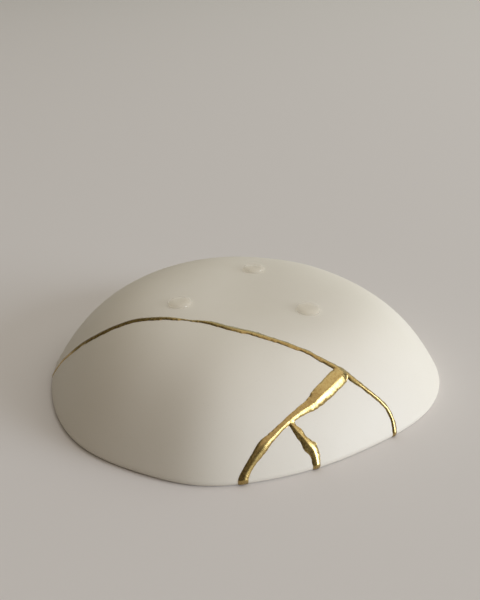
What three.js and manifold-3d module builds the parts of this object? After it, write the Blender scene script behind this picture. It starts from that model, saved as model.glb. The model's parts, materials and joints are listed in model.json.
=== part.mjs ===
// Kintsugi bowl: a shallow hand-formed dish of cream stoneware, broken into four sherds and mended
// with gold-dusted lacquer. It lies upside down on its rim, and three clear bumpers stand on its base.
// Millimetres, +Z up, the table at Z = 0, the mended side towards -Y.

import * as THREE from 'three';
import { ParametricGeometry } from 'three/addons/geometries/ParametricGeometry.js';
import { mergeVertices } from 'three/addons/utils/BufferGeometryUtils.js';
import Module from 'manifold-3d';

const wasm = await Module();
wasm.setup();

// Bowl: rim radius before its swells, height of the wall's curve, wall, and fullness of the curve
const RIM_RADIUS = 100;
const DOME_HEIGHT = 40.5;
const WALL = 4;
const FULLNESS = 4.4;

// The lip is fully round and is rubbed flat by this much where it stands
const LIP_RUB = 0.2;

// Hand-formed plan: each swell adds a share of the rim radius about an azimuth, in degrees
const SWELLS = [
  { share: 0.0535, azimuth: 228.4, spread: 22.9 },
  { share: 0.0435, azimuth: 259, spread: 14.4 },
  { share: -0.0725, azimuth: 306.7, spread: 27.7 },
  { share: -0.052, azimuth: 37, spread: 30 },
  { share: 0.029, azimuth: 112, spread: 30 },
];

// Gold: full widths of the three mended cracks, and how far the gold stands off the wall
const SEAM_WIDTH = 2.8;
const BRANCH_WIDTH = 7.8;
const FORK_WIDTH = 5.4;
const GOLD_PROUD = 0.7;
const GOLD_INSIDE = 0.3;
const GOLD_LIFT = 0.25;
const JOINT_GAP = 0.3;

// The gold's ends are trimmed to the lip's own shape, grown by this much more than the gold stands
const END_ROOM = 0.4;

// Clear bumper feet: a low dome with a flat tip, stuck on by a thin pad
const FOOT_RADIUS = 6;
const FOOT_HEIGHT = 2.1;
const FOOT_TIP_RADIUS = 2.6;
const FOOT_EDGE = 0.5;
const FOOT_PAD_GAP = 0.3;
const FOOT_CIRCLE = 35;

// Each foot was placed by eye near the circle: its azimuth and its share of the circle's radius
const FEET = {
  foot_left: { azimuth: 202, out: 1.02 },
  foot_right: { azimuth: 327, out: 1.01 },
  foot_rear: { azimuth: 84, out: 0.92 },
};

// Crack paths as shares of the bowl's plan, 1 at the rim: across, along, and share of full width
const SEAM_PATH = [
  [-1.07, -0.13, 0.6], [-0.994, -0.134, 0.6], [-0.95, -0.146, 0.62], [-0.878, -0.192, 0.7],
  [-0.811, -0.22, 0.79], [-0.721, -0.249, 0.82], [-0.634, -0.257, 1], [-0.542, -0.255, 1.07],
  [-0.397, -0.272, 1], [-0.31, -0.289, 0.8], [-0.258, -0.304, 0.46], [-0.21, -0.317, 0.9],
  [-0.122, -0.353, 1.3], [-0.004, -0.423, 1.4], [0.095, -0.486, 1.15], [0.204, -0.541, 1],
  [0.299, -0.578, 0.87], [0.367, -0.604, 0.97], [0.434, -0.62, 1.05], [0.502, -0.634, 1.1],
  [0.583, -0.644, 0.85], [0.655, -0.645, 0.88], [0.69, -0.652, 0.95], [0.712, -0.672, 0.98],
  [0.72, -0.7, 0.97], [0.73, -0.76, 0.97],
];
const BRANCH_PATH = [
  [0.455, -0.624, 0.3], [0.43, -0.657, 0.8], [0.387, -0.711, 1], [0.331, -0.766, 0.95],
  [0.297, -0.795, 0.76], [0.247, -0.824, 0.57], [0.201, -0.851, 0.45], [0.158, -0.877, 0.4],
  [0.111, -0.906, 0.47], [0.071, -0.93, 0.62], [0.041, -0.953, 0.54], [0.008, -0.978, 0.46],
  [-0.014, -1.002, 0.52], [-0.05, -1.06, 0.52],
];
const FORK_PATH = [
  [0.19, -0.866, 0.42], [0.223, -0.885, 0.58], [0.251, -0.899, 0.66], [0.27, -0.911, 0.86],
  [0.291, -0.918, 1.02], [0.308, -0.932, 0.76], [0.315, -0.95, 0.68], [0.32, -0.985, 0.66],
  [0.33, -1.06, 0.66],
];

// Points that name the sherds, in the same plan shares
const SHERDS = {
  sherd_back: [0, 0.18],
  sherd_front_left: [-0.27, -0.55],
  sherd_front_wedge: [0.15, -0.93],
  sherd_front_right: [0.46, -0.8],
};

// Facets
const AZIMUTH_STEPS = 64;
const OUTER_STEPS = 12;
const INNER_STEPS = 9;
const LIP_STEPS = 3;
const WALL_SPACING = 0.75;
const RING_SPACING = 4;
const CROWN_SHARE = 0.55;
const FOOT_SIDES = 20;
const FOOT_STEPS = 4;

const UP = new THREE.Vector3(0, 0, 1);
const radians = THREE.MathUtils.degToRad;

// Plan radius of the rim at an azimuth in radians: the rim radius with its bell-shaped swells
function planRadius(azimuth) {
  let share = 1;
  for (const swell of SWELLS) {
    const turn = THREE.MathUtils.euclideanModulo(azimuth - radians(swell.azimuth) + Math.PI, 2 * Math.PI) - Math.PI;
    share += swell.share * Math.exp(-((turn / radians(swell.spread)) ** 2));
  }
  return RIM_RADIUS * share;
}

// Outward normal of the wall in its upright section, as radial and vertical parts
function wallNormal(share, azimuth) {
  const steepness = FULLNESS * DOME_HEIGHT * share ** (FULLNESS - 1);
  return new THREE.Vector2(steepness, planRadius(azimuth)).normalize();
}

// Height of the wall's outer end above the table, so that the round lip stands on it
const WALL_FOOT = (WALL / 2) * (1 + wallNormal(1, 0).y) - LIP_RUB;

// Point of the wall in its upright section: the curve z = height * (1 - share ^ fullness), and a
// depth measured inwards along the normal
function wallPoint(share, azimuth, depth) {
  const normal = wallNormal(share, azimuth);
  const radius = share * planRadius(azimuth) - depth * normal.x;
  const height = WALL_FOOT + DOME_HEIGHT * (1 - share ** FULLNESS) - depth * normal.y;
  return new THREE.Vector2(radius, height);
}

// The same point in space, from plan shares across and along
function bowlPoint(across, along, depth) {
  const azimuth = Math.atan2(along, across);
  const point = wallPoint(Math.hypot(across, along), azimuth, depth);
  return new THREE.Vector3(point.x * Math.cos(azimuth), point.x * Math.sin(azimuth), point.y);
}

function bowlNormal(across, along) {
  return bowlPoint(across, along, -1).sub(bowlPoint(across, along, 0)).normalize();
}

// Section of the bowl at an azimuth, grown outside and inside: outer wall from the crown to the
// rim, round lip with its flat land at the floor height, and inner wall back to the crown
function bowlSection(azimuth, outside, inside, floor) {
  const points = [];
  for (let i = 0; i <= OUTER_STEPS; i++) {
    points.push(wallPoint((i / OUTER_STEPS) ** WALL_SPACING, azimuth, -outside));
  }
  const lipRadius = (WALL + outside + inside) / 2;
  const centre = wallPoint(1, azimuth, lipRadius - outside);
  const lean = wallNormal(1, azimuth).angle();
  const rest = Math.asin(Math.min((centre.y - floor) / lipRadius, 1));
  const lipArc = (from, to, first, last) => {
    for (let i = first; i <= last; i++) {
      const angle = THREE.MathUtils.lerp(from, to, i / LIP_STEPS);
      points.push(new THREE.Vector2(Math.cos(angle), Math.sin(angle)).multiplyScalar(lipRadius).add(centre));
    }
  };
  lipArc(lean, -rest, 1, LIP_STEPS);
  lipArc(rest - Math.PI, lean - Math.PI, 0, LIP_STEPS - 1);
  for (let i = INNER_STEPS; i >= 0; i--) {
    points.push(wallPoint((i / INNER_STEPS) ** WALL_SPACING, azimuth, WALL + inside));
  }
  return points;
}

// Closed solid from a surface whose sides meet and whose first and last rows are single points
function solidOf(surface, columns, rows) {
  const grid = new ParametricGeometry(surface, columns, rows);
  grid.deleteAttribute('normal').deleteAttribute('uv');
  const merged = mergeVertices(grid, 1e-4);
  const corners = merged.index.array;
  const faces = [];
  for (let i = 0; i < corners.length; i += 3) {
    const [a, b, c] = corners.slice(i, i + 3);
    if (a !== b && b !== c && c !== a) faces.push(a, b, c);
  }
  const vertProperties = new Float32Array(merged.attributes.position.array);
  return new wasm.Manifold(new wasm.Mesh({ numProp: 3, vertProperties, triVerts: new Uint32Array(faces) }));
}

function bowlShell(outside, inside, floor) {
  const sections = [];
  for (let i = 0; i < AZIMUTH_STEPS; i++) {
    sections.push(bowlSection((-2 * Math.PI * i) / AZIMUTH_STEPS, outside, inside, floor));
  }
  const rows = sections[0].length - 1;
  return solidOf((u, v, target) => {
    const column = Math.round(u * AZIMUTH_STEPS) % AZIMUTH_STEPS;
    const azimuth = (-2 * Math.PI * column) / AZIMUTH_STEPS;
    const row = THREE.MathUtils.clamp(Math.round(v * rows), 0, rows);
    const point = sections[(column + AZIMUTH_STEPS) % AZIMUTH_STEPS][row];
    target.set(point.x * Math.cos(azimuth), point.x * Math.sin(azimuth), point.y);
  }, AZIMUTH_STEPS, rows);
}

// Band that follows a crack: at each step its outline, sized by the local width, is set square to
// the path, sideways along the wall and outwards along its normal
function crackBand(path, fullWidth, outlineOf) {
  const curve = new THREE.CatmullRomCurve3(path.map((point) => new THREE.Vector3(...point)));
  const steps = Math.ceil((curve.getLength() * RIM_RADIUS) / RING_SPACING);
  const rings = [];
  for (let i = 0; i <= steps; i++) {
    const here = curve.getPointAt(i / steps);
    const normal = bowlNormal(here.x, here.y);
    const ahead = curve.getTangentAt(i / steps).multiplyScalar(0.01);
    const forward = bowlPoint(here.x + ahead.x, here.y + ahead.y, 0).sub(bowlPoint(here.x, here.y, 0));
    const sideways = normal.clone().cross(forward).normalize();
    const middle = bowlPoint(here.x, here.y, 0);
    rings.push(outlineOf(fullWidth * here.z).map(([side, out]) =>
      middle.clone().addScaledVector(sideways, side).addScaledVector(normal, out)));
  }
  const centreOf = (ring) => ring.reduce((sum, point) => sum.add(point), new THREE.Vector3()).divideScalar(ring.length);
  const first = centreOf(rings[0]);
  const last = centreOf(rings[steps]);
  const sides = rings[0].length;
  return solidOf((u, v, target) => {
    const row = THREE.MathUtils.clamp(Math.round(v * (steps + 2)), 0, steps + 2);
    const column = (Math.round(u * sides) + sides) % sides;
    if (row === 0) target.copy(first);
    else if (row === steps + 2) target.copy(last);
    else target.copy(rings[row - 1][column]);
  }, sides, steps + 2);
}

// Outline of the gold: through the wall, with shoulders that slope in to a low crown
function goldOutline(width) {
  const half = width / 2;
  const deep = -WALL - GOLD_INSIDE;
  const shoulder = half * CROWN_SHARE;
  return [[-half, deep], [half, deep], [half, 0], [shoulder, GOLD_PROUD], [-shoulder, GOLD_PROUD], [-half, 0]];
}

// Outline of the cut between sherds: wider than the gold by the joint's gap on either side
function cutOutline(width) {
  const half = width / 2 + JOINT_GAP;
  return [[-half, -2 * WALL], [half, -2 * WALL], [half, 2 * WALL], [-half, 2 * WALL]];
}

function allBands(outlineOf) {
  return crackBand(SEAM_PATH, SEAM_WIDTH, outlineOf)
    .add(crackBand(BRANCH_PATH, BRANCH_WIDTH, outlineOf))
    .add(crackBand(FORK_PATH, FORK_WIDTH, outlineOf));
}

function geometryOf(solid) {
  const mesh = solid.getMesh();
  const geometry = new THREE.BufferGeometry();
  geometry.setAttribute('position', new THREE.BufferAttribute(mesh.vertProperties, 3));
  geometry.setIndex(new THREE.BufferAttribute(mesh.triVerts, 1));
  geometry.computeVertexNormals();
  return geometry;
}

function named(name, geometry, material) {
  const mesh = new THREE.Mesh(geometry, material);
  mesh.name = name;
  return mesh;
}

// The broken bowl: whatever the cracks leave apart is a sherd, named by the nearest plan point
function makeSherds() {
  const pieces = bowlShell(0, 0, 0).subtract(allBands(cutOutline)).decompose().map(geometryOf);
  return Object.entries(SHERDS).map(([name, [across, along]]) => {
    const middle = new THREE.Vector2(across, along).multiplyScalar(RIM_RADIUS);
    const distance = (geometry) => {
      geometry.computeBoundingBox();
      const centre = geometry.boundingBox.getCenter(new THREE.Vector3());
      return Math.hypot(centre.x - middle.x, centre.y - middle.y);
    };
    const nearest = pieces.reduce((best, piece) => (distance(piece) < distance(best) ? piece : best));
    return named(name, nearest, new THREE.MeshStandardMaterial({ color: 0xe2dccf, roughness: 0.6, metalness: 0 }));
  });
}

function makeGold() {
  const gold = allBands(goldOutline)
    .intersect(bowlShell(GOLD_PROUD + END_ROOM, GOLD_INSIDE + END_ROOM, GOLD_LIFT));
  return named('gold_seam', geometryOf(gold),
    new THREE.MeshStandardMaterial({ color: 0xc79a45, roughness: 0.35, metalness: 1 }));
}

function footGeometry() {
  const profile = [new THREE.Vector2(0, 0), new THREE.Vector2(FOOT_RADIUS, 0)];
  for (let i = 0; i <= FOOT_STEPS; i++) {
    const angle = (i / FOOT_STEPS) * (Math.PI / 2);
    profile.push(new THREE.Vector2(
      FOOT_TIP_RADIUS + (FOOT_RADIUS - FOOT_TIP_RADIUS) * Math.cos(angle),
      FOOT_EDGE + (FOOT_HEIGHT - FOOT_EDGE) * Math.sin(angle),
    ));
  }
  profile.push(new THREE.Vector2(0, FOOT_HEIGHT));
  return new THREE.LatheGeometry(profile, FOOT_SIDES).rotateX(Math.PI / 2);
}

// Feet stand square to the base where each was stuck on
function makeFeet() {
  return Object.entries(FEET).map(([name, { azimuth, out }]) => {
    const share = (FOOT_CIRCLE * out) / planRadius(radians(azimuth));
    const across = share * Math.cos(radians(azimuth));
    const along = share * Math.sin(radians(azimuth));
    const normal = bowlNormal(across, along);
    const foot = named(name, footGeometry(),
      new THREE.MeshStandardMaterial({ color: 0xf1efe8, roughness: 0.2, metalness: 0, transparent: true, opacity: 0.5 }));
    foot.position.copy(bowlPoint(across, along, -FOOT_PAD_GAP));
    foot.quaternion.setFromUnitVectors(UP, normal);
    return foot;
  });
}

const pieces = new THREE.Group();
pieces.add(...makeSherds(), makeGold(), ...makeFeet());

// The origin is on the table, under the middle of the bowl's footprint
const footprint = new THREE.Box3().setFromObject(pieces).getCenter(new THREE.Vector3());
pieces.position.set(-footprint.x, -footprint.y, 0);

const bowl = new THREE.Group();
bowl.add(pieces);

export default bowl;
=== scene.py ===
"""A mended bowl: cream stoneware broken in four and joined with gold. It lies upside down on its rim, and
three clear bumpers stand on its base. Each surface is a function of two parameters, worked out as arrays.

Lengths are metres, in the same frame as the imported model: +Z up, the table at Z = 0.
"""

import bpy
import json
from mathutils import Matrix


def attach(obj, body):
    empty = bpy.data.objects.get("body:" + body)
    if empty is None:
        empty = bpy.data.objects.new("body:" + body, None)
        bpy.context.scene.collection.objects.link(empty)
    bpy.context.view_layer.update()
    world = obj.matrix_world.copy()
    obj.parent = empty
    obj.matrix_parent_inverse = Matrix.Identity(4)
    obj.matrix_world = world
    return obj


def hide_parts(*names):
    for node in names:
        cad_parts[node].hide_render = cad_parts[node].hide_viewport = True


bl_info = {
    "name": "Kintsugi Bowl",
    "version": (1, 0, 0),
    "blender": (4, 5, 0),
    "location": "View3D > Sidebar > Kintsugi",
    "description": "Builds the clay sherds, the gold mend and the clear feet of a mended stoneware bowl",
    "category": "Add Mesh",
}

import json
import math

import bmesh
import bpy
import numpy as np
from bpy.props import FloatProperty, FloatVectorProperty, PointerProperty
from bpy.types import Operator, Panel, PropertyGroup
from mathutils import Matrix

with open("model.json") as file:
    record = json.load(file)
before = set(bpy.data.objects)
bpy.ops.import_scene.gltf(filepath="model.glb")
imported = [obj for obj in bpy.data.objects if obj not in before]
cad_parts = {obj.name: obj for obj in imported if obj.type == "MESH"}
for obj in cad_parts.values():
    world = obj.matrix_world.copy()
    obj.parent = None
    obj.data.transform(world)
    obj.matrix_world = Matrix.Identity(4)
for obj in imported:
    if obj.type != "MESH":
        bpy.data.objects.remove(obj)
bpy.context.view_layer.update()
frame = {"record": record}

BODY = "root"
MM = 0.001
FULL_TURN = 2 * math.pi

# Hand-formed plan: each swell adds a share of the rim radius about an azimuth, in degrees
SWELL_SHARE = np.array([0.0535, 0.0435, -0.0725, -0.052, 0.029])
SWELL_AZIMUTH = np.radians([228.4, 259, 306.7, 37, 112])
SWELL_SPREAD = np.radians([22.9, 14.4, 27.7, 30, 30])

# Crack paths as shares of the bowl's plan, 1 at the rim: across, along, and share of full width
SEAM_PATH = [
    (-1.07, -0.13, 0.6), (-0.994, -0.134, 0.65), (-0.95, -0.146, 0.72), (-0.878, -0.192, 0.9),
    (-0.811, -0.22, 1.12), (-0.721, -0.249, 1.2), (-0.634, -0.257, 1.15), (-0.542, -0.255, 1.15),
    (-0.397, -0.272, 1.1), (-0.31, -0.289, 0.8), (-0.258, -0.304, 0.46), (-0.21, -0.317, 0.9),
    (-0.122, -0.353, 1.3), (-0.004, -0.423, 1.4), (0.095, -0.486, 1.15), (0.204, -0.541, 1),
    (0.299, -0.578, 0.87), (0.367, -0.604, 0.97), (0.434, -0.62, 1.05), (0.502, -0.634, 1.1),
    (0.583, -0.644, 0.85), (0.655, -0.645, 0.88), (0.69, -0.652, 0.95), (0.712, -0.672, 0.98),
    (0.72, -0.7, 0.97), (0.73, -0.76, 0.97),
]
BRANCH_PATH = [
    (0.45, -0.645, 0.96), (0.438, -0.661, 1.06), (0.39, -0.712, 1.06), (0.332, -0.766, 0.98),
    (0.297, -0.795, 0.76), (0.247, -0.824, 0.57), (0.201, -0.851, 0.45), (0.158, -0.877, 0.4),
    (0.111, -0.906, 0.47), (0.071, -0.93, 0.62), (0.041, -0.953, 0.54), (0.008, -0.978, 0.46),
    (-0.014, -1.002, 0.52), (-0.05, -1.06, 0.52),
]
FORK_PATH = [
    (0.19, -0.866, 0.42), (0.223, -0.885, 0.62), (0.251, -0.899, 0.76), (0.273, -0.91, 0.98),
    (0.293, -0.918, 1.1), (0.308, -0.932, 0.84), (0.315, -0.95, 0.72), (0.32, -0.985, 0.66),
    (0.33, -1.06, 0.66),
]

# Sherds: the node that each replaces, and the side of each crack that it lies on, 1 to the left of
# the crack's path and -1 to the right
SHERDS = {
    "sherd_back": {"seam": 1},
    "sherd_front_left": {"seam": -1, "branch": -1},
    "sherd_front_wedge": {"branch": 1, "fork": -1},
    "sherd_front_right": {"seam": -1, "branch": 1, "fork": 1},
}

# Mounts at the feet's tips, from which each foot takes its place and lean
FEET = {"foot_left": "foot_left_tip", "foot_right": "foot_right_tip", "foot_rear": "foot_rear_tip"}

# The foot that the plan's centre is measured from: its azimuth in degrees, distance out and height
REAR_FOOT_AZIMUTH = 84
REAR_FOOT_OUT = 32.2 * MM
REAR_FOOT_HEIGHT = 2.1 * MM
FOOT_PAD = 0.3 * MM

# Mesh steps: clay grid, gold grid, crack samples, and how far the gold's grid reaches from a crack
CLAY_STEP = 1.5 * MM
CLAY_LIP_ROWS = 9
GOLD_STEP = 0.3 * MM
GOLD_LIP_ROWS = 14
CRACK_STEP = 0.25 * MM
GOLD_REACH = 6 * MM

# The clay's edges lie under the gold, at this share of its half width; the gold clears them by this
CLAY_GAP_SHARE = 0.55
CLEARANCE = 0.03 * MM

# The clay's inner cracks begin this far before the gold's, as a share of the plan, so that each cut is whole
CRACK_LEAD = 0.3

# How far each crack's edges wander, as a share of the ragged edge
RAGGED_SHARE = {"seam": 1.4, "branch": 0.8, "fork": 2.2}

# Waves in the gold's edges: length, share and seed of each. Then the length and share of its lumps
EDGE_WAVES = ((6 * MM, 0.8, 11), (2.4 * MM, 0.5, 12))
LUMP_LENGTH = 12 * MM
LUMP_SHARE = 0.03

# Length of the hand's soft marks in the clay
HAND_MARK_LENGTH = 55 * MM

# Soft lights: the colour of each, and its azimuth and rise in degrees
LIGHTS = {
    "window": ((0.81, 0.89, 1.0), -20, 12),
    "side": ((0.88, 1.0, 0.94), 60, 35),
    "ceiling": ((1.0, 0.89, 0.82), 0, 65),
}

# The photograph's view: degrees down and turned, and the camera's place from the plan's centre
CAMERA_DOWN = 24.073
CAMERA_TURN = -0.543
CAMERA_PLACE = [0, -0.38739, 0.21216]


class BowlShape(PropertyGroup):
    """Sizes and finish of the clay bowl."""
    rim_radius: FloatProperty(name="Rim radius", description="Rim radius before its swells",
                              default=0.1, unit="LENGTH")
    dome_height: FloatProperty(name="Height", description="Height of the wall's curve",
                               default=0.0405, unit="LENGTH")
    wall: FloatProperty(name="Wall", description="Thickness of the clay", default=0.004, unit="LENGTH")
    fullness: FloatProperty(name="Fullness", description="Exponent of the wall's curve", default=4.4)
    lip_rub: FloatProperty(name="Lip rub", description="How far the round lip is rubbed flat",
                           default=0.0002, unit="LENGTH")
    unevenness: FloatProperty(name="Unevenness", description="Size of the hand's soft marks",
                              default=0.00012, unit="LENGTH")
    clay_colour: FloatVectorProperty(name="Clay", description="Colour of the clay", subtype="COLOR",
                                     default=(0.80, 0.755, 0.665))
    clay_roughness: FloatProperty(name="Clay roughness", description="How matt the clay is",
                                  default=0.55, subtype="FACTOR")


class GoldShape(PropertyGroup):
    """Sizes and finish of the gold mend."""
    seam_width: FloatProperty(name="Seam width", description="Full width of the long seam",
                              default=0.0028, unit="LENGTH")
    branch_width: FloatProperty(name="Branch width", description="Full width of the thick branch",
                                default=0.0078, unit="LENGTH")
    fork_width: FloatProperty(name="Fork width", description="Full width of the fork",
                              default=0.0054, unit="LENGTH")
    seam_height: FloatProperty(name="Seam height", description="How proud the seam stands",
                               default=0.00068, unit="LENGTH")
    branch_height: FloatProperty(name="Branch height", description="How proud the branch stands",
                                 default=0.0016, unit="LENGTH")
    fork_height: FloatProperty(name="Fork height", description="How proud the fork stands",
                               default=0.0008, unit="LENGTH")
    inside_height: FloatProperty(name="Inside height", description="How proud the gold stands inside",
                                 default=0.0003, unit="LENGTH")
    lift: FloatProperty(name="Lift", description="How far the gold stays above the table",
                        default=0.00025, unit="LENGTH")
    ragged: FloatProperty(name="Ragged edge", description="How far the gold's edges wander",
                          default=0.0001, unit="LENGTH")
    gold_colour: FloatVectorProperty(name="Gold", description="Colour of the gold", subtype="COLOR",
                                     default=(0.47, 0.34, 0.112))
    gold_roughness: FloatProperty(name="Gold roughness", description="How satin the gold is",
                                  default=0.27, subtype="FACTOR")
    coat: FloatProperty(name="Coat", description="Weight of the thin clear coat", default=1, subtype="FACTOR")


class FootShape(PropertyGroup):
    """Sizes and finish of the clear bumper feet."""
    radius: FloatProperty(name="Radius", description="Radius of a foot", default=0.006, unit="LENGTH")
    height: FloatProperty(name="Height", description="Height of a foot", default=0.0021, unit="LENGTH")
    tip_radius: FloatProperty(name="Tip radius", description="Radius of the flat tip",
                              default=0.0026, unit="LENGTH")
    edge: FloatProperty(name="Edge", description="Height of the straight edge", default=0.0005, unit="LENGTH")
    clear_colour: FloatVectorProperty(name="Clear tint", description="Tint of the clear plastic",
                                      subtype="COLOR", default=(0.97, 0.91, 0.79))
    clear_alpha: FloatProperty(name="Clear alpha", description="How much of the clear plastic shows",
                               default=0.24, subtype="FACTOR")


class StudioLook(PropertyGroup):
    """The floor, the light and the camera."""
    floor_colour: FloatVectorProperty(name="Floor", description="Colour of the floor", subtype="COLOR",
                                      default=(0.74, 0.71, 0.69))
    floor_size: FloatProperty(name="Floor size", description="Side of the floor", default=9, unit="LENGTH")
    window_power: FloatProperty(name="Window power", description="Power of the soft window light",
                                default=202, unit="POWER")
    side_power: FloatProperty(name="Side power", default=88, unit="POWER",
                              description="Power of the soft light behind and to the right")
    ceiling_power: FloatProperty(name="Ceiling power", description="Power of the soft light from above",
                                 default=146, unit="POWER")
    window_size: FloatProperty(name="Window size", description="Side of the soft window light",
                               default=2.4, unit="LENGTH")
    fill_size: FloatProperty(name="Fill size", description="Side of the two dim fill lights",
                             default=8, unit="LENGTH")
    light_away: FloatProperty(name="Light away", description="Distance of each soft light",
                              default=5, unit="LENGTH")
    room_light: FloatProperty(name="Room light", description="Strength of the light all round", default=0.12)
    room_colour: FloatVectorProperty(name="Room colour", description="Colour of the light all round",
                                     subtype="COLOR", default=(1.0, 0.9, 0.7))


def plan_radius(azimuth, bowl):
    """Rim radius at an azimuth: the rim radius times one plus bell curves centred on the swells."""
    turn = (np.asarray(azimuth)[..., None] - SWELL_AZIMUTH + math.pi) % FULL_TURN - math.pi
    return bowl.rim_radius * (1 + (SWELL_SHARE * np.exp(-((turn / SWELL_SPREAD) ** 2))).sum(-1))


def waves(places, length, seed, count=20):
    """Smooth noise with a mean square of one: a sum of plane waves of about one length, each with its own
    direction and phase."""
    random = np.random.default_rng(seed)
    direction = random.normal(size=(count, 3))
    direction /= np.linalg.norm(direction, axis=1, keepdims=True)
    pitch = FULL_TURN / (length * random.uniform(0.7, 1.4, count))
    phase = random.uniform(0, FULL_TURN, count)
    return np.sin(places @ (direction * pitch[:, None]).T + phase).sum(-1) * math.sqrt(2 / count)


def wall_normal(share, azimuth, bowl):
    """Outward normal of the wall in its upright section, radial and up: the slope of the curve turned."""
    steepness = bowl.fullness * bowl.dome_height * np.asarray(share, float) ** (bowl.fullness - 1)
    plan = plan_radius(azimuth, bowl)
    length = np.hypot(steepness, plan)
    return steepness / length, plan / length


def wall_foot(bowl):
    """Height of the wall's outer end above the table, so that the round lip stands on it."""
    return bowl.wall / 2 * (1 + float(wall_normal(1, 0, bowl)[1])) - bowl.lip_rub


def hand_marks(share, azimuth, bowl):
    """Soft unevenness of the hand-formed wall: noise over the plan, fading out at the rim."""
    radius = share * bowl.rim_radius
    plan = np.stack([radius * np.cos(azimuth), radius * np.sin(azimuth), 0 * radius], -1)
    return bowl.unevenness * waves(plan, HAND_MARK_LENGTH, 3) * np.clip(4 * (1 - share), 0, 1)


def wall_section(share, azimuth, depth, bowl):
    """Radius and height of the wall: the curve height * (1 - share ^ fullness), less a depth along the
    normal, plus the hand's soft marks."""
    radial, up = wall_normal(share, azimuth, bowl)
    depth = depth - hand_marks(share, azimuth, bowl)
    radius = share * plan_radius(azimuth, bowl) - depth * radial
    height = wall_foot(bowl) + bowl.dome_height * (1 - share ** bowl.fullness) - depth * up
    return radius, height


def plan_centre(bowl):
    """Where the plan's centre lies in the frame: the rear foot's tip less its place about that centre."""
    azimuth = math.radians(REAR_FOOT_AZIMUTH)
    share = REAR_FOOT_OUT / float(plan_radius(azimuth, bowl))
    radial, _ = wall_normal(share, azimuth, bowl)
    out = REAR_FOOT_OUT + float(radial) * (FOOT_PAD + REAR_FOOT_HEIGHT)
    tip = mount("foot_rear_tip")["pos_m"]
    return np.array([tip[0] - out * math.cos(azimuth), tip[1] - out * math.sin(azimuth), 0])


def mount(name):
    """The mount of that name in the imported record."""
    return next(m for m in frame["record"]["mounts"] if m["name"] == name)


class Sheet:
    """The bowl's wall as a grid. Rows run from the crown to the rim and on round the lip to its lowest
    line, columns run round the bowl, and each grid point has an outer and an inner side."""

    def __init__(self, bowl, step, lip_rows):
        self.bowl, self.step, self.lip_rows = bowl, step, lip_rows
        share = np.linspace(0, 1, 2001)
        radius, height = wall_section(share, 0 * share, 0, bowl)
        length = np.concatenate([[0], np.cumsum(np.hypot(np.diff(radius), np.diff(height)))])
        self.wall_rows = math.ceil(length[-1] / step)
        self.columns = math.ceil(FULL_TURN * bowl.rim_radius / step)
        self.shares = np.interp(np.linspace(0, length[-1], self.wall_rows + 1), length, share)
        self.rows = self.wall_rows + lip_rows

    def point(self, row, column, inner=False, out=0.0, floor=0.0):
        """Point of the wall or lip, out from the clay by so much. The lip is a half circle about the
        middle of the wall's end, each side turning down to its lowest line, and flat at the floor."""
        bowl = self.bowl
        share = np.interp(row, np.arange(self.wall_rows + 1), self.shares)
        azimuth = column * (FULL_TURN / self.columns)
        depth = bowl.wall + out if inner else -out
        radius, height = wall_section(share, azimuth, depth, bowl)
        turn = np.clip((row - self.wall_rows) / self.lip_rows, 0, 1)
        lip_radius, lip_height = wall_section(1.0 + 0 * azimuth, azimuth, bowl.wall / 2, bowl)
        radial, up = wall_normal(1.0, azimuth, bowl)
        start = np.arctan2(up, radial) - (math.pi if inner else 0)
        angle = start + turn * (-math.pi / 2 - start)
        reach = bowl.wall / 2 + out
        on_lip = row > self.wall_rows
        radius = np.where(on_lip, lip_radius + reach * np.cos(angle), radius)
        height = np.where(on_lip, lip_height + reach * np.sin(angle), height)
        height = np.maximum(height, floor)
        return np.stack([radius * np.cos(azimuth), radius * np.sin(azimuth), height], -1)

    def metric(self, row):
        """Metres for one row and for one column at a row."""
        share = np.interp(row, np.arange(self.wall_rows + 1), self.shares)
        return self.step, np.maximum(share, 0.05) * FULL_TURN * self.bowl.rim_radius / self.columns


def smooth_path(points, samples=40):
    """Centripetal spline through the points: on each stretch a cubic whose slopes weigh the chords by
    the square root of their lengths."""
    points = np.array(points, float)
    p = np.vstack([2 * points[0] - points[1], points, 2 * points[-1] - points[-2]])
    p0, p1, p2, p3 = p[:-3], p[1:-2], p[2:-1], p[3:]
    d0, d1, d2 = (np.linalg.norm(b - a, axis=1, keepdims=True) ** 0.5
                  for a, b in ((p0, p1), (p1, p2), (p2, p3)))
    m1 = d1 * ((p1 - p0) / d0 - (p2 - p0) / (d0 + d1) + (p2 - p1) / d1)
    m2 = d1 * ((p2 - p1) / d1 - (p3 - p1) / (d1 + d2) + (p3 - p2) / d2)
    t = np.linspace(0, 1, samples, endpoint=False)[None, :, None]
    p1, p2, m1, m2 = (a[:, None, :] for a in (p1, p2, m1, m2))
    curve = ((2 * t**3 - 3 * t**2 + 1) * p1 + (t**3 - 2 * t**2 + t) * m1
             + (3 * t**2 - 2 * t**3) * p2 + (t**3 - t**2) * m2)
    return np.vstack([curve.reshape(-1, 3), points[-1:]])


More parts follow.
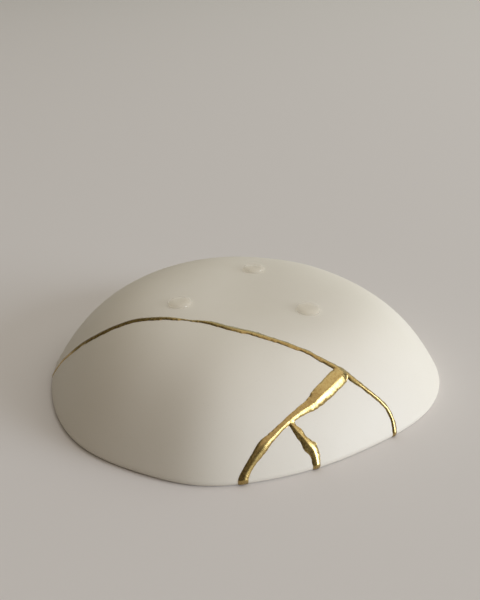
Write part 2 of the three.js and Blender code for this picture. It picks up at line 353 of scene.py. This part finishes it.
class Crack:
    """A crack as close samples along its path: places on the outer wall, half widths and heights."""

    def __init__(self, points, full_width, height, ragged, bowl, lead=0.0):
        self.ragged = ragged
        path = smooth_path(points)
        if lead:
            ahead = path[1] - path[0]
            back = lead / np.linalg.norm(ahead[:2])
            path = np.vstack([path[0] - [ahead[0] * back, ahead[1] * back, 0], path])
        length = np.concatenate([[0], np.cumsum(np.linalg.norm(np.diff(path[:, :2], axis=0), axis=1))])
        length *= bowl.rim_radius
        steps = np.linspace(0, length[-1], math.ceil(length[-1] / CRACK_STEP) + 1)
        across, along, width = (np.interp(steps, length, path[:, k]) for k in range(3))
        self.share, self.azimuth = np.hypot(across, along), np.arctan2(along, across)
        radius, rise = wall_section(self.share, self.azimuth, 0, bowl)
        self.place = np.stack([radius * np.cos(self.azimuth), radius * np.sin(self.azimuth), rise], -1)
        self.ahead = np.gradient(self.place, axis=0)
        self.ahead /= np.linalg.norm(self.ahead, axis=1, keepdims=True)
        self.half = full_width / 2 * width
        self.height = height * np.clip(width, 0.4, 1)

    def measure(self, places):
        """For each place, its distance from the crack, positive on both sides, its side, the half width
        and the height there. The distance is taken square to the nearest sample's direction."""
        nearest = np.empty(len(places), int)
        squares = (self.place**2).sum(1)
        for start in range(0, len(places), 8192):
            block = places[start:start + 8192]
            nearest[start:start + 8192] = (squares - 2 * block @ self.place.T).argmin(1)
        offset, ahead = places - self.place[nearest], self.ahead[nearest]
        along = np.clip((offset * ahead).sum(1), -CRACK_STEP, CRACK_STEP)
        distance = np.linalg.norm(offset - along[:, None] * ahead, axis=1)
        side = np.sign(ahead[:, 0] * offset[:, 1] - ahead[:, 1] * offset[:, 0])
        return distance, side, self.half[nearest], self.height[nearest]


def cracks(bowl, gold, lead=0.0):
    """The three mended cracks by name. A lead lengthens the inner cracks past where they begin."""
    ragged = {name: share * gold.ragged for name, share in RAGGED_SHARE.items()}
    return {
        "seam": Crack(SEAM_PATH, gold.seam_width, gold.seam_height, ragged["seam"], bowl),
        "branch": Crack(BRANCH_PATH, gold.branch_width, gold.branch_height, ragged["branch"], bowl, lead),
        "fork": Crack(FORK_PATH, gold.fork_width, gold.fork_height, ragged["fork"], bowl, lead),
    }


def grid_triangles(keep):
    """Two triangles for each kept cell of a grid whose columns close on themselves, facing outwards.
    The first row is one point, so its cells have one triangle."""
    columns = keep.shape[1]
    i, j = np.nonzero(keep)
    k = (j + 1) % columns
    a, b, c, d = i * columns + j, i * columns + k, (i + 1) * columns + k, (i + 1) * columns + j
    triangles = np.concatenate([np.stack([a, d, c], 1), np.stack([a, c, b], 1)])
    triangles[triangles < columns] = 0
    return triangles[triangles[:, 0] != triangles[:, 2]]


def clip(triangles, field, row, column, columns):
    """Keeps the part of a triangle grid where a field is above zero. A cut edge gets a point where the
    field, taken as straight along it, is zero. Returns triangles, rows, columns and the cut's edges."""
    inside = field[triangles] > 0
    count = inside.sum(1)

    def turned(of, first):
        return np.take_along_axis(of, (first[:, None] + np.arange(3)) % 3, 1)

    one = turned(triangles[count == 1], inside[count == 1].argmax(1))
    two = turned(triangles[count == 2], (~inside[count == 2]).argmax(1))
    edges = np.concatenate([one[:, [0, 1]], one[:, [0, 2]], two[:, [0, 1]], two[:, [0, 2]]])
    edges.sort(axis=1)
    edges, where = np.unique(edges, axis=0, return_inverse=True)
    where = where.reshape(-1) + len(field)
    n, m = len(one), len(two)
    one_a, one_b, two_a, two_b = where[:n], where[n:2 * n], where[2 * n:2 * n + m], where[2 * n + m:]
    kept = np.concatenate([
        triangles[count == 3],
        np.stack([one[:, 0], one_a, one_b], 1),
        np.stack([two_a, two[:, 1], two[:, 2]], 1),
        np.stack([two_a, two[:, 2], two_b], 1),
    ])
    cut = np.concatenate([np.stack([one_a, one_b], 1), np.stack([two_b, two_a], 1)])
    a, b = edges.T
    weight = field[a] / (field[a] - field[b])
    step = (column[b] - column[a] + columns / 2) % columns - columns / 2
    rows_out = np.concatenate([row, row[a] + weight * (row[b] - row[a])])
    columns_out = np.concatenate([column, column[a] + weight * step])
    return kept, rows_out, columns_out, cut


def closed_shell(triangles, cut, outer, inner, rings):
    """Joins the outer and inner sides of a clipped sheet into one closed surface. Each ring is a copy of
    the outer side's points, moved; strips of faces join the cut's edges from ring to ring."""
    layers = [outer, *rings, inner]
    last = len(layers) - 1
    size = len(outer)
    faces = [triangles, triangles[:, ::-1] + last * size]
    p, q = cut.T
    for k in range(last):
        up, down = k * size, (k + 1) * size
        faces.append(np.stack([q + up, p + up, p + down], 1))
        faces.append(np.stack([q + up, p + down, q + down], 1))
    faces = np.concatenate(faces)
    used, compact = np.unique(faces, return_inverse=True)
    return np.concatenate(layers)[used], compact.reshape(-1, 3)


def make_piece(name, points, faces, sharp=None):
    """A new smooth-shaded piece from arrays. Doubles are merged, so that seams and poles are closed."""
    mesh = bpy.data.meshes.new(name)
    mesh.from_pydata(points.tolist(), [], faces.tolist())
    work = bmesh.new()
    work.from_mesh(mesh)
    bmesh.ops.remove_doubles(work, verts=work.verts, dist=1e-6)
    bmesh.ops.dissolve_degenerate(work, edges=work.edges, dist=1e-7)
    bmesh.ops.triangulate(work, faces=[f for f in work.faces if len(f.verts) > 4])
    work.to_mesh(mesh)
    work.free()
    mesh.polygons.foreach_set("use_smooth", np.ones(len(mesh.polygons), bool))
    if sharp is not None:
        mesh.set_sharp_from_angle(angle=math.radians(sharp))
    mesh.update()
    piece = bpy.data.objects.new(name, mesh)
    bpy.context.scene.collection.objects.link(piece)
    return piece


def node_material(name):
    """A new material, its node tree and its Principled shader."""
    material = bpy.data.materials.new(name)
    material.use_nodes = True
    return material, material.node_tree, material.node_tree.nodes["Principled BSDF"]


def noise(tree, scale, detail=2.0, roughness=0.5):
    """A noise on Object coordinates; its scale is waves for each metre."""
    coordinates = tree.nodes.new("ShaderNodeTexCoord")
    texture = tree.nodes.new("ShaderNodeTexNoise")
    texture.inputs["Scale"].default_value = scale
    texture.inputs["Detail"].default_value = detail
    texture.inputs["Roughness"].default_value = roughness
    tree.links.new(coordinates.outputs["Object"], texture.inputs["Vector"])
    return texture.outputs["Fac"]


def ramp(tree, value, stops):
    """Colours at stops from 0 to 1, read at a value."""
    node = tree.nodes.new("ShaderNodeValToRGB")
    while len(node.color_ramp.elements) < len(stops):
        node.color_ramp.elements.new(0.5)
    for element, (place, colour) in zip(node.color_ramp.elements, stops):
        element.position = place
        element.color = (*colour, 1)
    tree.links.new(value, node.inputs["Fac"])
    return node.outputs["Color"]


def span(tree, value, low, high):
    """A value from 0 to 1 spread from low to high."""
    node = tree.nodes.new("ShaderNodeMapRange")
    node.inputs["To Min"].default_value = low
    node.inputs["To Max"].default_value = high
    tree.links.new(value, node.inputs["Value"])
    return node.outputs["Result"]


def bump(tree, value, strength, distance, under=None):
    """A bump from a value, over another normal if one is given."""
    node = tree.nodes.new("ShaderNodeBump")
    node.inputs["Strength"].default_value = strength
    node.inputs["Distance"].default_value = distance
    tree.links.new(value, node.inputs["Height"])
    if under is not None:
        tree.links.new(under, node.inputs["Normal"])
    return node.outputs["Normal"]


def tinted(colour, factor):
    """A colour made darker or lighter by a factor, or by one for each channel."""
    return tuple(float(c) for c in np.clip(np.array(colour) * factor, 0, 1))


def clay_material(bowl):
    """Satin-matt cream stoneware: soft clouds of colour, faint specks and a fine skin."""
    material, tree, shader = node_material("cream_stoneware")
    base = tuple(bowl.clay_colour)
    clouds = ramp(tree, noise(tree, 22, 3), [(0.3, tinted(base, (0.97, 0.965, 0.95))), (0.7, base)])
    specks = ramp(tree, noise(tree, 1400, 1), [(0.2, (0.86, 0.85, 0.82)), (0.34, (1, 1, 1))])
    mix = tree.nodes.new("ShaderNodeMix")
    mix.data_type, mix.blend_type = "RGBA", "MULTIPLY"
    mix.inputs["Factor"].default_value = 0.35
    tree.links.new(clouds, mix.inputs["A"])
    tree.links.new(specks, mix.inputs["B"])
    tree.links.new(mix.outputs["Result"], shader.inputs["Base Color"])
    rough = span(tree, noise(tree, 60, 4), bowl.clay_roughness - 0.06, bowl.clay_roughness + 0.06)
    tree.links.new(rough, shader.inputs["Roughness"])
    shader.inputs["IOR"].default_value = 1.45
    skin = bump(tree, noise(tree, 900, 3), 0.12, 0.05 * MM)
    tree.links.new(bump(tree, noise(tree, 120, 2), 0.1, 0.2 * MM, skin), shader.inputs["Normal"])
    return material


def gold_material(gold):
    """Gold dust over lacquer: satin metal with a fine grain and slightly browner clouds."""
    material, tree, shader = node_material("gold_dust_lacquer")
    base = tuple(gold.gold_colour)
    clouds = ramp(tree, noise(tree, 900, 5, 0.65), [(0.36, tinted(base, (0.78, 0.7, 0.55))), (0.6, base)])
    tree.links.new(clouds, shader.inputs["Base Color"])
    shader.inputs["Metallic"].default_value = 1
    shader.inputs["Coat Weight"].default_value = gold.coat
    shader.inputs["Coat Roughness"].default_value = 0.22
    rough = span(tree, noise(tree, 900, 3), gold.gold_roughness - 0.08, gold.gold_roughness + 0.1)
    tree.links.new(rough, shader.inputs["Roughness"])
    grain = bump(tree, noise(tree, 2000, 3, 0.7), 0.3, 0.025 * MM)
    tree.links.new(bump(tree, noise(tree, 500, 2), 0.12, 0.03 * MM, grain), shader.inputs["Normal"])
    return material


def clear_material(foot):
    """Clear soft plastic, see-through by plain shader values."""
    material, _, shader = node_material("clear_bumper")
    shader.inputs["Base Color"].default_value = (*foot.clear_colour, 1)
    shader.inputs["Alpha"].default_value = foot.clear_alpha
    shader.inputs["IOR"].default_value = 1.7
    shader.inputs["Roughness"].default_value = 0.06
    return material


def finish(piece, material, slot, *nodes):
    """Gives a piece its material, lets it ride on the bowl and stand for its nodes. The slot is not used."""
    piece.data.materials.append(material)
    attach(piece, BODY)
    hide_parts(*nodes)


class KINTSUGI_OT_sherds(Operator):
    """Build the four clay sherds"""
    bl_idname = "kintsugi.sherds"
    bl_label = "Build sherds"

    def execute(self, context):
        bowl, gold = context.scene.kintsugi_bowl, context.scene.kintsugi_gold
        sheet = Sheet(bowl, CLAY_STEP, CLAY_LIP_ROWS)
        row, column = (grid.ravel().astype(float) for grid in np.mgrid[0:sheet.rows + 1, 0:sheet.columns])
        places = sheet.point(np.minimum(row, sheet.wall_rows), column)
        sides = {}
        for name, crack in cracks(bowl, gold, lead=CRACK_LEAD).items():
            distance, side, half, _ = crack.measure(places)
            sides[name] = distance * side, CLAY_GAP_SHARE * half
        triangles = grid_triangles(np.ones((sheet.rows, sheet.columns), bool))
        material = clay_material(bowl)
        centre = plan_centre(bowl)
        for node, wanted in SHERDS.items():
            field = np.min([sides[name][0] * sign - sides[name][1] for name, sign in wanted.items()], axis=0)
            kept, rows, columns, cut = clip(triangles, field, row, column, sheet.columns)
            outer = sheet.point(rows, columns) + centre
            inner = sheet.point(rows, columns, inner=True) + centre
            points, faces = closed_shell(kept, cut, outer, inner, [])
            piece = make_piece(node.replace("sherd", "clay"), points, faces, sharp=50)
            finish(piece, material, "stoneware", node)
        return {"FINISHED"}


def gold_fields(places, bowl, gold):
    """How far inside the gold's edge each place is, and how high the bead stands there. Where cracks
    meet, their edges blend as a soft maximum. The bead is height * (1 - (1 - inside / half) ^ 1.5) ^ 0.8."""
    soft = 0.25 * MM
    wander = sum(share * waves(places, length, seed) for length, share, seed in EDGE_WAVES)
    found = cracks(bowl, gold).values()
    ragged = np.array([[crack.ragged] for crack in found])
    inside, half, height = [], [], []
    for crack in found:
        distance, _, half_here, height_here = crack.measure(places)
        inside.append(half_here - distance)
        half.append(half_here)
        height.append(height_here)
    inside, half, height = np.array(inside), np.array(half), np.array(height)
    peak = inside.max(0)
    weight = np.exp(np.clip((inside - peak) / soft, -40, 0))
    total = weight.sum(0)
    half, height = (weight * half).sum(0) / total, (weight * height).sum(0) / total
    inside = peak + soft * np.log(total)
    wander *= (weight * ragged).sum(0) / total
    share = np.clip((inside + wander * (1 - np.clip(inside / half, 0, 1)) ** 2) / half, 0, 1)
    lumps = 1 + LUMP_SHARE * waves(places, LUMP_LENGTH, 13)
    return inside + wander, half, height * lumps * (1 - (1 - share) ** 1.5) ** 0.8


def gold_mask(sheet, found):
    """Grid points near a crack: a block of rows and columns about each of the crack's samples."""
    mask = np.zeros((sheet.rows + 1, sheet.columns), bool)
    reach = math.ceil(GOLD_REACH / sheet.step)
    for crack in found.values():
        row = np.interp(crack.share, sheet.shares, np.arange(sheet.wall_rows + 1)).astype(int)
        column = (crack.azimuth / FULL_TURN * sheet.columns).astype(int)
        wide = np.ceil(reach / np.clip(crack.share, 0.25, 1)).astype(int).max()
        rows = np.clip(row[:, None, None] + np.arange(-reach, reach + 1)[None, :, None], 1, sheet.rows)
        columns = (column[:, None, None] + np.arange(-wide, wide + 1)[None, None, :]) % sheet.columns
        mask[rows, columns] = True
    mask[sheet.wall_rows:] = mask[sheet.wall_rows]
    return mask


class KINTSUGI_OT_gold(Operator):
    """Build the gold that fills the cracks"""
    bl_idname = "kintsugi.gold"
    bl_label = "Build gold mend"

    def execute(self, context):
        bowl, gold = context.scene.kintsugi_bowl, context.scene.kintsugi_gold
        sheet = Sheet(bowl, GOLD_STEP, GOLD_LIP_ROWS)
        mask = gold_mask(sheet, cracks(bowl, gold))
        row, column = (grid.ravel().astype(float) for grid in np.mgrid[0:sheet.rows + 1, 0:sheet.columns])
        near = np.nonzero(mask.ravel())[0]
        places = sheet.point(np.minimum(row[near], sheet.wall_rows), column[near])
        field, bead, half = (np.full(len(row), value) for value in (-1.0, 0.0, 1.0 * MM))
        field[near], half[near], bead[near] = gold_fields(places, bowl, gold)
        cells = mask[:-1] & mask[1:]
        cells &= np.roll(cells, -1, 1)
        kept, rows, columns, cut = clip(grid_triangles(cells), field, row, column, sheet.columns)
        seats = sheet.point(np.minimum(rows, sheet.wall_rows), columns)
        used = np.unique(kept)
        high, halves = np.zeros(len(rows)), np.full(len(rows), MM)
        _, halves[used], high[used] = gold_fields(seats[used], bowl, gold)
        high[cut] = CLEARANCE
        turn = np.clip((rows - sheet.wall_rows) / sheet.lip_rows, 0, 1)
        low = np.minimum(high, gold.inside_height)
        outer_out = np.maximum(high * (1 - turn) + low * turn, CLEARANCE)
        inner_out = np.maximum(low, CLEARANCE)
        centre = plan_centre(bowl)

        def surface(out, inner=False, inwards=None):
            place = rows, columns
            if inwards is not None:
                place = rows + inwards[0], columns + inwards[1]
            return sheet.point(*place, inner=inner, out=out, floor=gold.lift) + centre

        grid = np.where(mask, field.reshape(mask.shape), 0)
        slope_row, slope_column = (s.ravel() for s in np.gradient(grid))
        index = np.clip(np.rint(rows), 0, sheet.rows).astype(int) * sheet.columns
        index += np.rint(columns).astype(int) % sheet.columns
        row_metres, column_metres = sheet.metric(rows)
        slope = np.stack([slope_row[index] / row_metres, slope_column[index] / column_metres])
        slope /= np.maximum(np.linalg.norm(slope, axis=0), 1e-9)
        lap = (1 - CLAY_GAP_SHARE) * halves + CLEARANCE
        inwards = slope[0] * lap / row_metres, slope[1] * lap / column_metres
        rings = [surface(CLEARANCE, False, inwards), surface(CLEARANCE, True, inwards)]
        outer, inner = surface(outer_out), surface(inner_out, inner=True)
        points, faces = closed_shell(kept, cut, outer, inner, rings)
        piece = make_piece("gold_mend", points, faces, sharp=75)
        finish(piece, gold_material(gold), "gold", "gold_seam")
        return {"FINISHED"}


def foot_surface(foot, steps=24, sides=72):
    """A foot about its own axis: a profile turned round it. The profile goes out along the base, up the
    straight edge, over a quarter ellipse and in along the flat tip. Rows of radius and height."""
    bend = np.linspace(0, math.pi / 2, steps)
    radius = np.concatenate([
        np.linspace(0, foot.radius, 8), foot.tip_radius + (foot.radius - foot.tip_radius) * np.cos(bend),
        np.linspace(foot.tip_radius, 0, 7)[1:]])
    height = np.concatenate([
        np.zeros(8), foot.edge + (foot.height - foot.edge) * np.sin(bend), np.full(6, foot.height)])
    turn = np.linspace(0, FULL_TURN, sides, endpoint=False)
    points = np.stack([radius[:, None] * np.cos(turn), radius[:, None] * np.sin(turn),
                       height[:, None] + 0 * turn], -1)
    i, j = (grid.ravel() for grid in np.mgrid[0:len(radius) - 1, 0:sides])
    k = (j + 1) % sides
    faces = np.stack([i * sides + j, i * sides + k, (i + 1) * sides + k, (i + 1) * sides + j], 1)
    return points.reshape(-1, 3), faces


class KINTSUGI_OT_feet(Operator):
    """Build the three clear bumper feet"""
    bl_idname = "kintsugi.feet"
    bl_label = "Build clear feet"

    def execute(self, context):
        bowl, foot = context.scene.kintsugi_bowl, context.scene.kintsugi_feet
        material = clear_material(foot)
        centre = plan_centre(bowl)
        for node, tip in FEET.items():
            axis = np.array(mount(tip)["axis"])
            base = np.array(mount(tip)["pos_m"]) - axis * (foot.height + FOOT_PAD) - centre
            local, faces = foot_surface(foot)
            across = np.cross([0, 1, 0], axis)
            across /= np.linalg.norm(across)
            along = np.cross(axis, across)
            flat = base + local[:, :1] * across + local[:, 1:2] * along
            azimuth = np.arctan2(flat[:, 1], flat[:, 0])
            share = np.hypot(flat[:, 0], flat[:, 1]) / plan_radius(azimuth, bowl)
            radius, height = wall_section(share, azimuth, 0, bowl)
            seat = np.stack([radius * np.cos(azimuth), radius * np.sin(azimuth), height], -1)
            points = seat + axis * (local[:, 2:] + CLEARANCE) + centre
            finish(make_piece(node.replace("foot", "bumper"), points, faces, sharp=60), material,
                   "clear_bumper", node)
        return {"FINISHED"}


class KINTSUGI_OT_stage(Operator):
    """Build the floor, the window light and the camera"""
    bl_idname = "kintsugi.stage"
    bl_label = "Build stage"

    def execute(self, context):
        look = context.scene.kintsugi_studio
        half = look.floor_size / 2
        corners = np.array([(-half, -half, 0), (half, -half, 0), (half, half, 0), (-half, half, 0)])
        floor = make_piece("floor", corners, np.array([[0, 1, 2, 3]]))
        material, _, shader = node_material("pale_floor")
        shader.inputs["Base Color"].default_value = (*look.floor_colour, 1)
        shader.inputs["Roughness"].default_value = 0.9
        floor.data.materials.append(material)
        self.soft_light(context, "window", look.window_power, look.window_size, look.light_away)
        self.soft_light(context, "side", look.side_power, look.fill_size, look.light_away)
        self.soft_light(context, "ceiling", look.ceiling_power, look.fill_size, look.light_away)
        self.room(context, look)
        self.camera(context)
        return {"FINISHED"}

    def soft_light(self, context, name, power, size, away):
        """A square soft light at its azimuth and rise, turned to the bowl."""
        colour, azimuth, rise = LIGHTS[name]
        azimuth, rise = math.radians(azimuth), math.radians(rise)
        level = math.cos(rise)
        towards = np.array([math.cos(azimuth) * level, math.sin(azimuth) * level, math.sin(rise)])
        data = bpy.data.lights.new(name, "AREA")
        data.shape, data.size, data.energy, data.color = "SQUARE", size, power, colour
        light = bpy.data.objects.new(name, data)
        light.matrix_world = Matrix.Translation(towards * away) @ facing(-towards)
        context.scene.collection.objects.link(light)

    def room(self, context, look):
        """An even warm light all round."""
        world = bpy.data.worlds.new("room")
        world.use_nodes = True
        background = world.node_tree.nodes["Background"]
        background.inputs["Color"].default_value = (*look.room_colour, 1)
        background.inputs["Strength"].default_value = look.room_light
        context.scene.world = world
        context.scene.view_settings.view_transform = "Standard"

    def camera(self, context):
        """The photograph's view: 24 degrees down, from in front of the mended side."""
        centre = plan_centre(context.scene.kintsugi_bowl)
        pitch, yaw = math.radians(CAMERA_DOWN), math.radians(CAMERA_TURN)
        ahead = np.array([math.sin(yaw) * math.cos(pitch), math.cos(yaw) * math.cos(pitch), -math.sin(pitch)])
        data = bpy.data.cameras.new("camera")
        data.lens, data.sensor_width = 50, 36
        data.clip_start, data.clip_end = 0.01, 20
        camera = bpy.data.objects.new("camera", data)
        camera.matrix_world = Matrix.Translation(centre + CAMERA_PLACE) @ facing(ahead)
        context.scene.collection.objects.link(camera)
        context.scene.camera = camera


def facing(ahead):
    """The turn that points an object's -Z along a direction, with its Y as upright as it can be."""
    back = -np.array(ahead) / np.linalg.norm(ahead)
    right = np.cross([0, 0, 1], back)
    right /= np.linalg.norm(right)
    return Matrix(np.stack([right, np.cross(back, right), back], 1).tolist()).to_4x4()


class KINTSUGI_PT_panel(Panel):
    """The bowl's operators and sizes"""
    bl_idname = "KINTSUGI_PT_panel"
    bl_label = "Kintsugi bowl"
    bl_space_type = "VIEW_3D"
    bl_region_type = "UI"
    bl_category = "Kintsugi"

    def draw(self, context):
        for operator, group in PANEL_ROWS:
            box = self.layout.box()
            box.operator(operator.bl_idname)
            settings = getattr(context.scene, group)
            for name in settings.bl_rna.properties.keys():
                if name not in ("rna_type", "name"):
                    box.prop(settings, name)


GROUPS = {"kintsugi_bowl": BowlShape, "kintsugi_gold": GoldShape, "kintsugi_feet": FootShape,
          "kintsugi_studio": StudioLook}
OPERATORS = (KINTSUGI_OT_sherds, KINTSUGI_OT_gold, KINTSUGI_OT_feet, KINTSUGI_OT_stage)
PANEL_ROWS = tuple(zip(OPERATORS, GROUPS))


def register():
    for item in (*GROUPS.values(), *OPERATORS, KINTSUGI_PT_panel):
        bpy.utils.register_class(item)
    for name, group in GROUPS.items():
        setattr(bpy.types.Scene, name, PointerProperty(type=group))


def unregister():
    for name in GROUPS:
        delattr(bpy.types.Scene, name)
    for item in reversed((*GROUPS.values(), *OPERATORS, KINTSUGI_PT_panel)):
        bpy.utils.unregister_class(item)


def main():
    register()
    bpy.ops.kintsugi.sherds()
    bpy.ops.kintsugi.gold()
    bpy.ops.kintsugi.feet()
    bpy.ops.kintsugi.stage()


if __name__ == "__main__":
    main()
